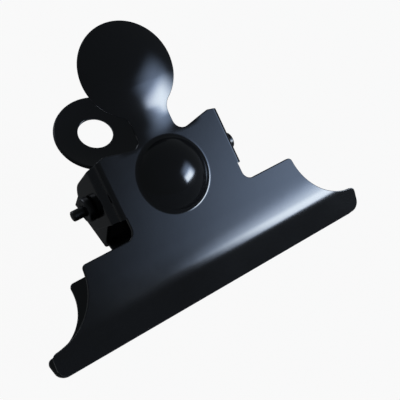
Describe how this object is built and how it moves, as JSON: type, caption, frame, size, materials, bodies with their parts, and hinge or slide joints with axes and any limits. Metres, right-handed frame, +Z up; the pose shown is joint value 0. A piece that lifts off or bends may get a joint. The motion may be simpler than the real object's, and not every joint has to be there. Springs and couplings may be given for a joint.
{
  "type": "bulldog clip",
  "caption": "Black pressed-steel bulldog clip: two hinged plates with domed round grips and folded lips, closed by a torsion spring on the hinge pin.",
  "frame": {"origin": "middle of the footprint, on the surface that the clip lies on", "axes": "+X along the jaw, +Y from the jaw to the grips, +Z up; the clip lies on its back plate"},
  "size_m": [0.075, 0.0566, 0.0426],
  "materials": {
    "black_enamel": "baked black enamel, semi-gloss",
    "pin_enamel": "black enamel, semi-gloss",
    "spring_steel": "drawn spring wire, oiled"
  },
  "bodies": {
    "back_jaw": {"back_plate": "black_enamel", "hinge_pin": "pin_enamel", "pin_collar": "pin_enamel", "torsion_spring": "spring_steel"},
    "front_jaw": {"front_plate": "black_enamel"}
  },
  "joints": [
    {"name": "jaw_hinge", "type": "hinge", "parent": "back_jaw", "child": "front_jaw", "pos_m": [0, -0.00447, 0.01404], "axis": [-1, 0, 0], "range_deg": [0, 58], "stiffness_Nm_per_rad": 0.3, "springref_deg": -2.86, "deforming": ["torsion_spring"]}
  ]
}
